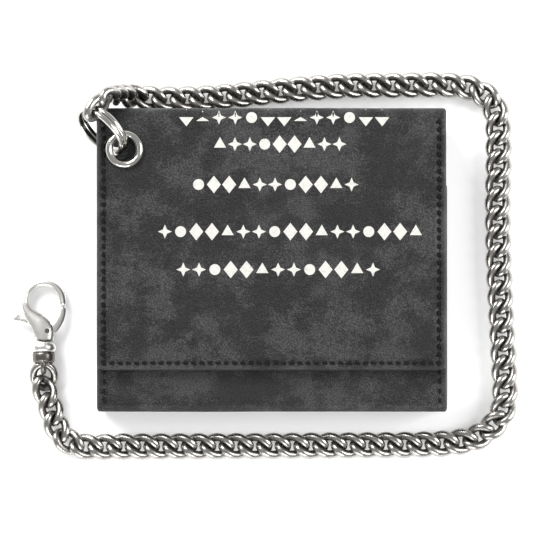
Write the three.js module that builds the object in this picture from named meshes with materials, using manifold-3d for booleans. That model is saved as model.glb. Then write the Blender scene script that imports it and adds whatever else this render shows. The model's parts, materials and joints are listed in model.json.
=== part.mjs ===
// Long-flap leather wallet with a metal eyelet, a split ring, a curb chain and a swivel lobster clasp.
// Millimetres, +Z up. The wallet lies on its back with the closed flap on top; +Y points to the top fold.
// The origin is the middle of the wallet's footprint, on the surface it lies on.
import * as THREE from "three";
import { mergeVertices } from "three/addons/utils/BufferGeometryUtils.js";
import Module from "manifold-3d";

const wasm = await Module();
wasm.setup();

// ---- driving dimensions: wallet ----
const WIDTH = 115; // closed wallet, along X
const HEIGHT = 100; // closed wallet, along Y
const HIDE = 1.6; // outer leather
const LINING = 0.6; // thin lining leather
const POCKET = 0.5; // card pocket leather
const DIVIDER = 0.6; // leaf between notes and cards
const BILL_GAP = 4.4; // note compartment
const COIN_GAP = 4.6; // space in front of the card pockets
const SNAP_GAP = 2.2; // room under the flap for the press stud
const SEAM = 0.3; // clearance between sheets that are sewn together
const FLAP_SHORT = 14; // the flap's free edge stops this far above the wallet's bottom
const FLAP_INSET = 0.3; // flap edge behind the body edge, at each side
const CORNER = 2; // rounded corners of the sheets
const FOLD_ROUND_LOW = 10; // outer radius where the back turns up into the top fold
const FOLD_ROUND_HIGH = 3; // outer radius where the top fold turns into the flap
const BOTTOM_ROUND = 4; // outer radius of the bottom fold
const POCKET_BELOW_TOP = 21; // upper edge of the tallest pocket layer, below the wallet's top
const POCKET_STEP = 9; // each card pocket ends this much lower
const FRONT_BELOW_TOP = 24; // upper edge of the front panel, below the wallet's top
const GUSSET = 1; // side wall leather
const GUSSET_INSET = 1; // side wall behind the body edge

// ---- driving dimensions: eyelet, press stud, split ring ----
const EYELET_FROM_SIDE = 9.3; // middle of the bore from the left edge
const EYELET_FROM_TOP = 13.7; // and from the top edge
const EYELET_FLANGE = 6.35; // radius
const EYELET_BORE = 3.8; // radius
const EYELET_WALL = 0.5;
const EYELET_RIM = 0.9; // height of the rolled rim above the leather
const EYELET_CLEAR = 0.3;
const STUD_FROM_EDGE = 10; // press stud from the flap's free edge
const STUD_FLANGE = 5;
const STUD_BALL = 2.1;
const SNAP_CLEAR = 0.4;
const RING_R = 9.25; // to the middle of the wire
const RING_WIRE = 1.5; // square wire with round corners
const RING_PITCH = 1.75; // from one coil to the next
const RING_LEAN = 25; // degrees from upright
const RING_HEADING = [-0.715, 0.699]; // in plan, from the eyelet outwards
const RING_ENTRY = [0.9, 0.1]; // where the wire passes, from the bore's middle, towards -X and +Y
const RING_LIFT = -1.6; // ring middle relative to the flap's top

// ---- driving dimensions: chain and clasp ----
const CHAIN_WIRE = 2.4;
const CHAIN_W = 8.5;
const CHAIN_H = 5.2;
const CHAIN_PITCH = 6.4;
const CHAIN_GAP = 0.3; // between two runs
const LEAD_D = 5.4; // the first run is turned on edge
const LINK_PHASE = 50; // degrees up the ring, from its outermost point
const LINK_REACH = 1.2; // link middle from the ring's wire
const CLASP_FROM_SIDE = 18.1; // clasp's middle line from the wallet's left side
const COLLAR_FROM_BOTTOM = 21.1; // collar's middle above the wallet's bottom
const COLLAR_R = 4.15;
const COLLAR_LEN = 2.8;
const STEM_R = 1.1;
const STEM_CLEAR = 0.3;
const LOOP_OUT = 7.55;
const LOOP_WIRE = 2.5;
const LOOP_MID_V = 15.25; // loop middle beyond the collar's middle
const CLASP_THICK = 4.4;
const LOOP_THICK = 3.2;
const LEVER_THICK = 1.4;
const LEVER_CLEAR = 0.3;
const PIVOT = [1.2, 5.4]; // lever pivot, from the collar's middle
const PIN_R = 0.8;
const PIN_CLEAR = 0.25;
const GATE_R = 9.0; // pivot to gate tip
const FLOOR_CLEAR = 0.1;

// The chain's route, chosen by hand for a wallet of ROUTE_SIZE, from the ring's link to the clasp's link.
const ROUTE_SIZE = [115, 100, 21.7];
const ROUTE_SIDE = 40; // past this distance from the middle, the chain follows the wallet's sides
const ROUTE_LOW = -25; // and below this height it follows the bottom
const LEAD_ROUTE = [
  [-53.4, 54.0, 22.3], [-51.8, 54.4, 18.4], [-49.8, 54.4, 13.2], [-46.6, 54.2, 7.4], [-41.6, 53.8, 3.3],
];
const TOP_ROUTE = [
  [-40.2, 53.7, 2.75], [-37.0, 53.5, 2.7], [-24.2, 53.7, 2.7], [-11.2, 54.8, 2.7], [1.6, 56.1, 2.7], [14.3, 57.2, 2.7],
  [27.0, 57.9, 2.7], [40.0, 58.0, 2.7], [53.0, 58.2, 2.7],
];
const RIGHT_ROUTE = [
  [53.0, 58.2, 2.7], [59.5, 58.0, 2.7], [66.0, 57.0, 2.7], [71.9, 53.6, 2.7], [74.6, 47.6, 2.7],
  [75.1, 35.2, 2.7], [74.8, 19.0, 2.7], [75.0, 2.8, 2.7], [75.6, -11.0, 2.7], [76.3, -24.0, 2.7],
  [77.0, -37.0, 2.7],
];
const BOTTOM_ROUTE = [
  [77.0, -37.0, 2.7], [77.2, -43.6, 2.7], [76.4, -50.0, 2.7], [73.2, -54.9, 2.7], [67.9, -58.6, 2.7],
  [61.1, -60.2, 2.7], [48.0, -61.0, 2.7], [16.0, -61.3, 2.7], [-16.0, -61.5, 2.7], [-48.0, -61.6, 2.7],
];
const LEFT_ROUTE = [
  [-48.0, -61.6, 2.7], [-56.0, -61.7, 2.7], [-62.8, -61.5, 2.7], [-68.3, -59.4, 2.7], [-71.6, -54.6, 2.7],
  [-73.4, -48.6, 2.7], [-74.6, -44.6, 2.7],
];

// ---- the stack of sheets, from the table up ----
const BACK_TOP = HIDE;
const BACK_LINING_Z = BACK_TOP + SEAM;
const BILL_Z = BACK_LINING_Z + LINING;
const DIVIDER_Z = BILL_Z + BILL_GAP;
const POCKETS_Z = DIVIDER_Z + DIVIDER + SEAM;
const POCKET_COUNT = 3;
const COIN_Z = POCKETS_Z + POCKET_COUNT * POCKET + (POCKET_COUNT - 1) * SEAM;
const FRONT_LINING_Z = COIN_Z + COIN_GAP;
const FRONT_Z = FRONT_LINING_Z + LINING + SEAM;
const FRONT_FACE = FRONT_Z + HIDE;
const FLAP_LINING_Z = FRONT_FACE + SNAP_GAP;
const FLAP_Z = FLAP_LINING_Z + LINING + SEAM;
const TOP = FLAP_Z + HIDE;

const HALF_W = WIDTH / 2;
const HALF_H = HEIGHT / 2;
const FLAP_EDGE = -HALF_H + FLAP_SHORT;
const POCKET_TOP = HALF_H - POCKET_BELOW_TOP;
const FRONT_TOP = HALF_H - FRONT_BELOW_TOP;
const CLASP_X = -HALF_W - CLASP_FROM_SIDE;
const COLLAR_Y = -HALF_H + COLLAR_FROM_BOTTOM;
const CORNER_Y = HALF_H - FOLD_ROUND_HIGH;
const CREASE_Z = TOP - FOLD_ROUND_HIGH; // the flap turns out of the top fold here
const EYELET_X = -HALF_W + EYELET_FROM_SIDE;
const EYELET_Y = HALF_H - EYELET_FROM_TOP;
const STUD_Y = FLAP_EDGE + STUD_FROM_EDGE;

// ---- materials ----
const finish = (color, roughness, metalness) => new THREE.MeshStandardMaterial({ color, roughness, metalness });
const LEATHER = finish(0x1b1b1c, 0.45, 0);
const LINING_LEATHER = finish(0x202021, 0.7, 0);
const NICKEL = finish(0xc9c8c4, 0.22, 1);
const ANTIQUE_SILVER = finish(0x9b9892, 0.38, 1);
const DARK_STEEL = finish(0x55524e, 0.5, 1);

const object = new THREE.Group();

function add(name, geometry, material, parent = object) {
  const mesh = new THREE.Mesh(geometry, material);
  mesh.name = name;
  parent.add(mesh);
  return mesh;
}

// ---- shape helpers ----
function roundedRectangle(x0, x1, y0, y1, radius) {
  const shape = new THREE.Shape();
  shape.moveTo(x0 + radius, y0);
  shape.lineTo(x1 - radius, y0);
  shape.absarc(x1 - radius, y0 + radius, radius, -Math.PI / 2, 0, false);
  shape.lineTo(x1, y1 - radius);
  shape.absarc(x1 - radius, y1 - radius, radius, 0, Math.PI / 2, false);
  shape.lineTo(x0 + radius, y1);
  shape.absarc(x0 + radius, y1 - radius, radius, Math.PI / 2, Math.PI, false);
  shape.lineTo(x0, y0 + radius);
  shape.absarc(x0 + radius, y0 + radius, radius, Math.PI, 1.5 * Math.PI, false);
  return shape;
}

function circleHole(x, y, radius) {
  const hole = new THREE.Path();
  hole.absarc(x, y, radius, 0, 2 * Math.PI, true);
  return hole;
}

function slab(shape, z0, thickness, curveSegments = 4) {
  const geometry = new THREE.ExtrudeGeometry(shape, { depth: thickness, bevelEnabled: false, curveSegments });
  return geometry.translate(0, 0, z0);
}

function sheet(x0, x1, y0, y1, z0, thickness, radius = CORNER) {
  return slab(roundedRectangle(x0, x1, y0, y1, radius), z0, thickness);
}

// A profile in the YZ plane, swept along X.
function alongX(profile, x0, x1, curveSegments = 8) {
  const geometry = new THREE.ExtrudeGeometry(profile, { depth: x1 - x0, bevelEnabled: false, curveSegments });
  const axes = new THREE.Matrix4().makeBasis(
    new THREE.Vector3(0, 1, 0), new THREE.Vector3(0, 0, 1), new THREE.Vector3(1, 0, 0),
  );
  return geometry.applyMatrix4(axes).translate(x0, 0, 0);
}

// A lathe profile of [radius, height] pairs, turned about +Z.
function turned(points, segments = 32) {
  return new THREE.LatheGeometry(points.map(([r, z]) => new THREE.Vector2(r, z)), segments)
    .rotateX(Math.PI / 2);
}

function smoothRoute(points) {
  return new THREE.CatmullRomCurve3(points.map((p) => new THREE.Vector3(...p)), false, "centripetal");
}

// An ellipse; its first radius lies along the sweep's normal and its second along the binormal.
function ellipse(rx, ry, sides) {
  const shape = new THREE.Shape();
  for (let i = 0; i < sides; i += 1) {
    const a = ((i + 0.5) / sides) * 2 * Math.PI;
    const scale = 1 / Math.cos(Math.PI / sides);
    const x = Math.cos(a) * rx * scale;
    const y = Math.sin(a) * ry * scale;
    if (i === 0) shape.moveTo(x, y);
    else shape.lineTo(x, y);
  }
  shape.closePath();
  return shape;
}

function sweep(curve, section, steps) {
  return new THREE.ExtrudeGeometry(section, { steps, extrudePath: curve, bevelEnabled: false });
}

// ---- solids: joining and cutting ----
function solid(geometry) {
  const bare = geometry.index ? geometry.toNonIndexed() : geometry.clone();
  bare.deleteAttribute("normal");
  bare.deleteAttribute("uv");
  const merged = mergeVertices(bare, 1e-4);
  return new wasm.Manifold(new wasm.Mesh({
    numProp: 3,
    vertProperties: merged.attributes.position.array,
    triVerts: new Uint32Array(merged.index.array),
  }));
}

function geometryOf(manifold) {
  const mesh = manifold.getMesh();
  const geometry = new THREE.BufferGeometry();
  geometry.setAttribute("position", new THREE.BufferAttribute(new Float32Array(mesh.vertProperties), 3));
  geometry.setIndex(new THREE.BufferAttribute(new Uint32Array(mesh.triVerts), 1));
  return geometry;
}

function cut(geometry, ...tools) {
  return geometryOf(tools.reduce((body, tool) => body.subtract(solid(tool)), solid(geometry)));
}

function join(...geometries) {
  return geometryOf(geometries.slice(1).reduce((body, g) => body.add(solid(g)), solid(geometries[0])));
}

// ---- outer hide: back, bottom fold, front and top fold ----
const backLow = -HALF_H + BOTTOM_ROUND + SEAM;
const backHigh = HALF_H - FOLD_ROUND_LOW - SEAM;
add("back_panel", sheet(-HALF_W, HALF_W, backLow, backHigh, 0, HIDE, SEAM), LEATHER);
add("front_panel", sheet(-HALF_W, HALF_W, backLow, FRONT_TOP, FRONT_Z, HIDE, SEAM), LEATHER);

function bottomFold() {
  const profile = new THREE.Shape();
  const middle = -HALF_H + BOTTOM_ROUND;
  const inner = BOTTOM_ROUND - HIDE;
  profile.moveTo(middle, 0);
  profile.absarc(middle, BOTTOM_ROUND, BOTTOM_ROUND, -Math.PI / 2, Math.PI, true);
  profile.absarc(middle, FRONT_FACE - BOTTOM_ROUND, BOTTOM_ROUND, Math.PI, Math.PI / 2, true);
  profile.absarc(middle, FRONT_FACE - BOTTOM_ROUND, inner, Math.PI / 2, Math.PI, false);
  profile.absarc(middle, BOTTOM_ROUND, inner, Math.PI, 1.5 * Math.PI, false);
  return alongX(profile, -HALF_W, HALF_W, 5);
}
add("bottom_fold", bottomFold(), LEATHER);

function topFold() {
  const profile = new THREE.Shape();
  const lowY = HALF_H - FOLD_ROUND_LOW;
  profile.moveTo(lowY, 0);
  profile.absarc(lowY, FOLD_ROUND_LOW, FOLD_ROUND_LOW, -Math.PI / 2, 0, false);
  profile.lineTo(HALF_H, CREASE_Z - SEAM);
  profile.lineTo(HALF_H - HIDE, CREASE_Z - SEAM);
  profile.absarc(lowY, FOLD_ROUND_LOW, FOLD_ROUND_LOW - HIDE, 0, -Math.PI / 2, true);
  return alongX(profile, -HALF_W, HALF_W, 7);
}
add("top_fold", topFold(), LEATHER);

// The corner between the top fold and the flap opens and closes with the flap.
function flapFold() {
  const profile = new THREE.Shape();
  profile.moveTo(HALF_H, CREASE_Z);
  profile.absarc(CORNER_Y, CREASE_Z, FOLD_ROUND_HIGH, 0, Math.PI / 2, false);
  profile.absarc(CORNER_Y, CREASE_Z, FOLD_ROUND_HIGH - HIDE, Math.PI / 2, 0, true);
  return alongX(profile, -HALF_W + FLAP_INSET, HALF_W - FLAP_INSET, 7);
}
add("flap_fold", flapFold(), LEATHER);

// ---- inside: linings, note leaf, card pockets and side walls ----
const liningHalf = HALF_W - GUSSET_INSET - GUSSET - SEAM;
add("back_lining", sheet(-liningHalf, liningHalf, backLow + SEAM, POCKET_TOP + SEAM, BACK_LINING_Z, LINING),
  LINING_LEATHER);
add("front_lining", sheet(-liningHalf, liningHalf, backLow + SEAM, FRONT_TOP - SEAM, FRONT_LINING_Z, LINING),
  LINING_LEATHER);
add("note_divider", sheet(-liningHalf, liningHalf, backLow + SEAM, POCKET_TOP, DIVIDER_Z, DIVIDER), LINING_LEATHER);
for (let i = 0; i < POCKET_COUNT; i += 1) {
  const z = POCKETS_Z + i * (POCKET + SEAM);
  const top = POCKET_TOP - (i + 1) * POCKET_STEP;
  add(`card_pocket_${i + 1}`, sheet(-liningHalf, liningHalf, backLow + SEAM, top, z, POCKET), LINING_LEATHER);
}

const gussetLow = BACK_TOP + SEAM;
const gussetHigh = FRONT_Z - SEAM;
for (const [name, side] of [["left_gusset", -1], ["right_gusset", 1]]) {
  const outer = side * (HALF_W - GUSSET_INSET);
  const inner = outer - side * GUSSET;
  const wall = sheet(Math.min(inner, outer), Math.max(inner, outer), backLow + SEAM, FRONT_TOP, gussetLow,
    gussetHigh - gussetLow, GUSSET / 4);
  add(name, wall, LINING_LEATHER);
}

// ---- flap ----
const eyeletSleeve = EYELET_BORE + EYELET_WALL;
const flapHalf = HALF_W - FLAP_INSET;
function flapSheet(inset, z0, thickness, high) {
  const shape = roundedRectangle(-flapHalf + inset, flapHalf - inset, FLAP_EDGE + inset, high, CORNER);
  shape.holes.push(circleHole(EYELET_X, EYELET_Y, eyeletSleeve + EYELET_CLEAR));
  return slab(shape, z0, thickness, 8);
}
add("flap_leather", flapSheet(0, FLAP_Z, HIDE, CORNER_Y - SEAM), LEATHER);
add("flap_lining", flapSheet(SEAM, FLAP_LINING_Z, LINING, CORNER_Y - HIDE - SEAM), LINING_LEATHER);

// ---- eyelet: rolled front half with its sleeve, and the back washer ----
function eyeletFront() {
  const low = FLAP_LINING_Z - HIDE / 2;
  const rim = [];
  const rimMiddle = (EYELET_BORE + EYELET_FLANGE) / 2;
  const rimHalf = (EYELET_FLANGE - EYELET_BORE) / 2;
  const rimSteps = 8;
  for (let i = 0; i <= rimSteps; i += 1) {
    const a = (i / rimSteps) * Math.PI;
    rim.push([rimMiddle + rimHalf * Math.cos(a), TOP + SEAM / 3 + EYELET_RIM * Math.sin(a)]);
  }
  const profile = [
    [EYELET_BORE, low], [eyeletSleeve, low], [eyeletSleeve, TOP + SEAM / 3], ...rim, [EYELET_BORE, low],
  ];
  return turned(profile).translate(EYELET_X, EYELET_Y, 0);
}
add("eyelet_front", eyeletFront(), NICKEL);
const washerTop = FLAP_LINING_Z - SEAM / 3;
add("eyelet_washer", turned([
  [eyeletSleeve + PIN_CLEAR, washerTop - EYELET_WALL], [EYELET_FLANGE - EYELET_WALL, washerTop - EYELET_WALL],
  [EYELET_FLANGE, washerTop], [eyeletSleeve + PIN_CLEAR, washerTop], [eyeletSleeve + PIN_CLEAR, washerTop - EYELET_WALL],
]).translate(EYELET_X, EYELET_Y, 0), NICKEL);

// ---- press stud: stud on the front panel, socket on the flap's lining ----
const studBase = FRONT_FACE + SEAM / 3;
const studFlangeTop = studBase + EYELET_WALL / 2;
const studTop = FLAP_LINING_Z - SNAP_CLEAR - EYELET_WALL;
add("snap_stud", turned([
  [0, studBase], [STUD_FLANGE, studBase], [STUD_FLANGE, studFlangeTop], [STUD_BALL * 0.8, studFlangeTop],
  [STUD_BALL, (studFlangeTop + studTop) / 2], [STUD_BALL * 0.8, studTop], [0, studTop],
]).translate(0, STUD_Y, 0), NICKEL);
const socketTop = FLAP_LINING_Z - SEAM / 3;
const socketLow = studFlangeTop + SNAP_CLEAR;
const socketBore = STUD_BALL + SNAP_CLEAR;
add("snap_socket", turned([
  [0, socketTop - EYELET_WALL / 2], [socketBore, socketTop - EYELET_WALL / 2], [socketBore, socketLow],
  [STUD_FLANGE, socketLow], [STUD_FLANGE + SNAP_CLEAR, socketTop], [0, socketTop],
]).translate(0, STUD_Y, 0), NICKEL);

// ---- split ring: two flat coils through the eyelet and round the flap's left edge ----
const heading = new THREE.Vector3(RING_HEADING[0], RING_HEADING[1], 0).normalize();
const across = new THREE.Vector3(heading.y, -heading.x, 0);
const lean = THREE.MathUtils.degToRad(RING_LEAN);
const ringUp = new THREE.Vector3(0, 0, Math.cos(lean)).addScaledVector(across, Math.sin(lean));
const ringAxis = new THREE.Vector3().crossVectors(heading, ringUp).normalize();
const ringMiddle = new THREE.Vector3(EYELET_X - RING_ENTRY[0], EYELET_Y + RING_ENTRY[1], TOP + RING_LIFT)
  .addScaledVector(heading, RING_R);

function ringPoint(angle, radius = RING_R) {
  return ringMiddle.clone()
    .addScaledVector(heading, radius * Math.cos(angle))
    .addScaledVector(ringUp, radius * Math.sin(angle));
}

class CoilCurve extends THREE.Curve {
  getPoint(t, target = new THREE.Vector3()) {
    const turns = 1.94;
    const angle = (t * turns - 0.3) * 2 * Math.PI;
    const stepStart = 0.9 / turns;
    const stepEnd = 1.04 / turns;
    const shift = THREE.MathUtils.smoothstep(t, stepStart, stepEnd) - 0.5;
    return target.copy(ringPoint(angle)).addScaledVector(ringAxis, shift * RING_PITCH);
  }
}
add("split_ring", sweep(new CoilCurve(), ellipse(RING_WIRE / 2, RING_WIRE / 2, 6), 52), NICKEL);

// ---- chain: one true end link at each end, and plain solids for the runs between ----
class OvalCurve extends THREE.Curve {
  constructor(middle, long, wide, straight, radius) {
    super();
    Object.assign(this, { middle, long, wide, straight, radius });
  }

  getPoint(t, target = new THREE.Vector3()) {
    const angle = t * 2 * Math.PI;
    const reach = this.straight / 2 + this.radius;
    return target.copy(this.middle)
      .addScaledVector(this.long, reach * Math.cos(angle))
      .addScaledVector(this.wide, this.radius * Math.sin(angle));
  }
}

function ovalLink(middle, long, wide) {
  const half = (CHAIN_W - CHAIN_WIRE) / 2;
  const straight = CHAIN_PITCH + CHAIN_WIRE - 2 * half;
  const curve = new OvalCurve(middle, long, wide, straight, half);
  return new THREE.TubeGeometry(curve, 24, CHAIN_WIRE / 2, 8, true);
}

const linkAngle = THREE.MathUtils.degToRad(LINK_PHASE);
const linkOut = ringPoint(linkAngle).sub(ringMiddle).normalize();
const linkMiddle = ringPoint(linkAngle).addScaledVector(ringAxis, LINK_REACH);
add("ring_link", ovalLink(linkMiddle, ringAxis, linkOut), ANTIQUE_SILVER);

// Moves a drawn route along with the wallet's sides, and a falling run's start with the flap's top.
function fitted(route, falls) {
  const wider = HALF_W - ROUTE_SIZE[0] / 2;
  const taller = HALF_H - ROUTE_SIZE[1] / 2;
  const thicker = TOP - ROUTE_SIZE[2];
  return route.map(([x, y, z], i) => {
    const side = THREE.MathUtils.clamp(x / ROUTE_SIDE, -1, 1);
    const end = THREE.MathUtils.clamp((y - ROUTE_LOW) / (ROUTE_SIDE - ROUTE_LOW), 0, 1) * 2 - 1;
    const share = falls ? 1 - i / (route.length - 1) : 0;
    return [x + side * wider, y + end * taller, z + share * thicker];
  });
}

function chainRun(name, route, radii, trim, falls = false) {
  const curve = smoothRoute(fitted(route, falls));
  const length = curve.getLength();
  const points = [];
  const steps = Math.max(4, Math.round(length / (2 * CHAIN_W)) * 2);
  for (let i = 0; i <= steps; i += 1) {
    const from = trim / length;
    points.push(curve.getPointAt(from + (1 - 2 * from) * (i / steps)));
  }
  const path = new THREE.CatmullRomCurve3(points, false, "centripetal");
  add(name, sweep(path, ellipse(radii[0], radii[1], 8), steps), ANTIQUE_SILVER);
}
const flatSection = [CHAIN_H / 2, CHAIN_W / 2];
chainRun("chain_lead", LEAD_ROUTE, [LEAD_D / 2, LEAD_D / 2], CHAIN_GAP, true);
chainRun("chain_top_run", TOP_ROUTE, flatSection, CHAIN_GAP);
chainRun("chain_right_run", RIGHT_ROUTE, flatSection, CHAIN_GAP);
chainRun("chain_bottom_run", BOTTOM_ROUTE, flatSection, CHAIN_GAP);
chainRun("chain_left_run", LEFT_ROUTE, flatSection, CHAIN_GAP);

// ---- swivel lobster clasp, made along +Y from the collar's middle, then laid down ----
const clasp = new THREE.Group();
const collarZ = COLLAR_R + FLOOR_CLEAR;
const loopEnd = LOOP_MID_V + LOOP_OUT;
const claspTilt = Math.asin((collarZ - LOOP_THICK / 2 - FLOOR_CLEAR) / loopEnd);
clasp.position.set(CLASP_X, COLLAR_Y, collarZ);
clasp.rotation.x = -claspTilt;
object.add(clasp);

function flatPart(shape, thickness, curveSegments = 8) {
  return slab(shape, -thickness / 2, thickness, curveSegments);
}

// The loop is cut along an arc about the lever's pivot, so the gate's tip clears it.
function claspOutline() {
  const shape = new THREE.Shape();
  shape.moveTo(-2.7, COLLAR_LEN / 2 + SEAM);
  shape.lineTo(2.7, COLLAR_LEN / 2 + SEAM);
  shape.quadraticCurveTo(3.9, 3.2, 4.3, 5.4);
  shape.quadraticCurveTo(4.1, 7.6, 2.1, 8.1);
  shape.quadraticCurveTo(-3.6, 8.4, -LOOP_OUT + LOOP_WIRE, LOOP_MID_V - 2);
  shape.lineTo(-LOOP_OUT + LOOP_WIRE, LOOP_MID_V);
  shape.absarc(0, LOOP_MID_V, LOOP_OUT - LOOP_WIRE, Math.PI, 0, true);
  shape.lineTo(LOOP_OUT - LOOP_WIRE, 11);
  shape.lineTo(LOOP_OUT, 11);
  shape.lineTo(LOOP_OUT, LOOP_MID_V);
  shape.absarc(0, LOOP_MID_V, LOOP_OUT, 0, Math.PI, false);
  shape.quadraticCurveTo(-LOOP_OUT, 9.4, -5.2, 6.2);
  shape.quadraticCurveTo(-3.2, 3.6, -2.7, COLLAR_LEN / 2 + SEAM);
  return shape;
}

function claspLowerOutline() {
  const shape = new THREE.Shape();
  shape.moveTo(-2.7, COLLAR_LEN / 2 + SEAM);
  shape.lineTo(2.7, COLLAR_LEN / 2 + SEAM);
  shape.quadraticCurveTo(3.9, 3.2, 4.3, 5.4);
  shape.quadraticCurveTo(4.1, 7.6, 2.1, 8.1);
  shape.quadraticCurveTo(-2.6, 8.4, -5.0, 10.6);
  shape.lineTo(-6.6, 8.2);
  shape.quadraticCurveTo(-4.4, 5.0, -2.7, COLLAR_LEN / 2 + SEAM);
  return shape;
}

function disc(x, y, radius, thickness, segments = 24) {
  return new THREE.CylinderGeometry(radius, radius, thickness, segments).rotateX(Math.PI / 2).translate(x, y, 0);
}

const slotLow = 3.3;
const slotHigh = 10.9;
const stemDepth = 1.8; // how far the swivel's stem reaches into the body
function claspBody() {
  const slot = new THREE.BoxGeometry(4 * LOOP_OUT, slotHigh - slotLow, LEVER_THICK + 2 * LEVER_CLEAR)
    .translate(0, (slotHigh + slotLow) / 2, 0);
  const stemHole = new THREE.CylinderGeometry(STEM_R + STEM_CLEAR, STEM_R + STEM_CLEAR, 2 * stemDepth, 16)
    .translate(0, COLLAR_LEN / 2, 0);
  const tipCut = disc(PIVOT[0], PIVOT[1], GATE_R + LEVER_CLEAR, 2 * CLASP_THICK, 48);
  const tipSide = new THREE.BoxGeometry(2 * LOOP_WIRE, 2 * LOOP_OUT, 3 * CLASP_THICK)
    .translate(LOOP_OUT, LOOP_OUT + slotLow, 0);
  const tipTool = geometryOf(solid(tipCut).intersect(solid(tipSide)));
  const loop = cut(flatPart(claspOutline(), LOOP_THICK, 12), tipTool);
  const body = join(loop, flatPart(claspLowerOutline(), CLASP_THICK));
  return cut(body, slot, stemHole, disc(PIVOT[0], PIVOT[1], PIN_R + PIN_CLEAR, 2 * CLASP_THICK, 16));
}
add("clasp_body", claspBody(), ANTIQUE_SILVER, clasp);

function leverOutline() {
  const [px, py] = PIVOT;
  const tipFrom = THREE.MathUtils.degToRad(50);
  const tipTo = THREE.MathUtils.degToRad(64);
  const shape = new THREE.Shape();
  shape.moveTo(px + 2.2, py - 1.4);
  shape.quadraticCurveTo(6.7, 7.2, px + GATE_R * Math.cos(tipFrom), py + GATE_R * Math.sin(tipFrom));
  shape.absarc(px, py, GATE_R, tipFrom, tipTo, false);
  shape.quadraticCurveTo(4.0, 9.6, px + 0.6, py + 2.2);
  shape.lineTo(-7.6, 10.6);
  shape.lineTo(-8.2, 8.6);
  shape.lineTo(px - 1.6, py - 0.6);
  shape.quadraticCurveTo(px, py - 2.2, px + 2.2, py - 1.4);
  shape.holes.push(circleHole(px, py, PIN_R + PIN_CLEAR));
  return shape;
}
const KNOB = [-9.0, 9.9];
const KNOB_R = 1.4;
add("trigger_lever", join(flatPart(leverOutline(), LEVER_THICK, 6),
  disc(KNOB[0], KNOB[1], KNOB_R, LEVER_THICK * 1.8, 16)), ANTIQUE_SILVER, clasp);
add("trigger_pin", disc(PIVOT[0], PIVOT[1], PIN_R, CLASP_THICK, 16), DARK_STEEL, clasp);

class SpringCurve extends THREE.Curve {
  getPoint(t, target = new THREE.Vector3()) {
    const turns = 3;
    const angle = t * turns * 2 * Math.PI;
    const radius = 0.5;
    return target.set(-2.4 + radius * Math.cos(angle), 3.6 + 1.55 * t, radius * Math.sin(angle));
  }
}
add("trigger_spring", sweep(new SpringCurve(), ellipse(0.15, 0.15, 6), 30), DARK_STEEL, clasp);

// The collar is a round bead that turns with the body; the eye's stem runs through it.
function collar() {
  const bead = [];
  const steps = 8;
  for (let i = 0; i <= steps; i += 1) {
    const a = -Math.PI / 2 + (i / steps) * Math.PI;
    bead.push([COLLAR_R - 1.2 + 1.2 * Math.cos(a), (COLLAR_LEN / 2) * Math.sin(a)]);
  }
  const bore = STEM_R + STEM_CLEAR;
  const profile = [[bore, -COLLAR_LEN / 2], ...bead, [bore, COLLAR_LEN / 2], [bore, -COLLAR_LEN / 2]];
  return turned(profile, 28).rotateX(-Math.PI / 2);
}
add("swivel_collar", collar(), ANTIQUE_SILVER, clasp);

const EYE_MAJOR = 2.7;
const EYE_WIRE = 1.7;
const eyeMiddle = -COLLAR_LEN / 2 - SEAM - 1.0 - EYE_MAJOR;
function swivelEye() {
  const stem = new THREE.CylinderGeometry(STEM_R, STEM_R, stemDepth + COLLAR_LEN + 1, 16)
    .translate(0, (stemDepth - COLLAR_LEN - 1) / 2 + 0.6, 0);
  const dome = turned([[0, -1.6], [1.4, -1.5], [2.9, -0.6], [3.2, 0], [0, 0]], 24)
    .rotateX(-Math.PI / 2)
    .translate(0, -COLLAR_LEN / 2 - SEAM, 0);
  const eye = new THREE.TorusGeometry(EYE_MAJOR, EYE_WIRE / 2, 8, 20).rotateY(Math.PI / 2)
    .translate(0, eyeMiddle, 0);
  return join(dome, stem, eye);
}
add("swivel_eye", swivelEye(), DARK_STEEL, clasp);

// The last link slopes from the table up through the swivel's eye.
const linkHalf = (CHAIN_PITCH + CHAIN_WIRE) / 2;
const eyeWorld = new THREE.Vector3(0, eyeMiddle, 0).applyAxisAngle(new THREE.Vector3(1, 0, 0), -claspTilt)
  .add(clasp.position);
const lastSlope = Math.asin((eyeWorld.z - CHAIN_WIRE / 2 - FLOOR_CLEAR) / (2 * linkHalf));
const lastLong = new THREE.Vector3(0, Math.cos(lastSlope), Math.sin(lastSlope));
const lastLinkMiddle = eyeWorld.clone().addScaledVector(lastLong, -linkHalf);
add("clasp_link", ovalLink(lastLinkMiddle, lastLong, new THREE.Vector3(1, 0, 0)), ANTIQUE_SILVER);

export default object;
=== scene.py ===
"""Looks for a long-flap leather wallet with an eyelet, a split ring, a curb chain and a lobster clasp.

Everything is in metres in the part's own frame: the wallet lies on its back, +Z is up out of the flap
and +Y points to the top fold. The end links take their middles from the frame.
"""
import json
import logging
import math
from dataclasses import dataclass, field, replace
from enum import Enum
from typing import Any, Callable, Iterable, Sequence

import bmesh
import bpy
from mathutils import Matrix, Vector, noise


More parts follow.
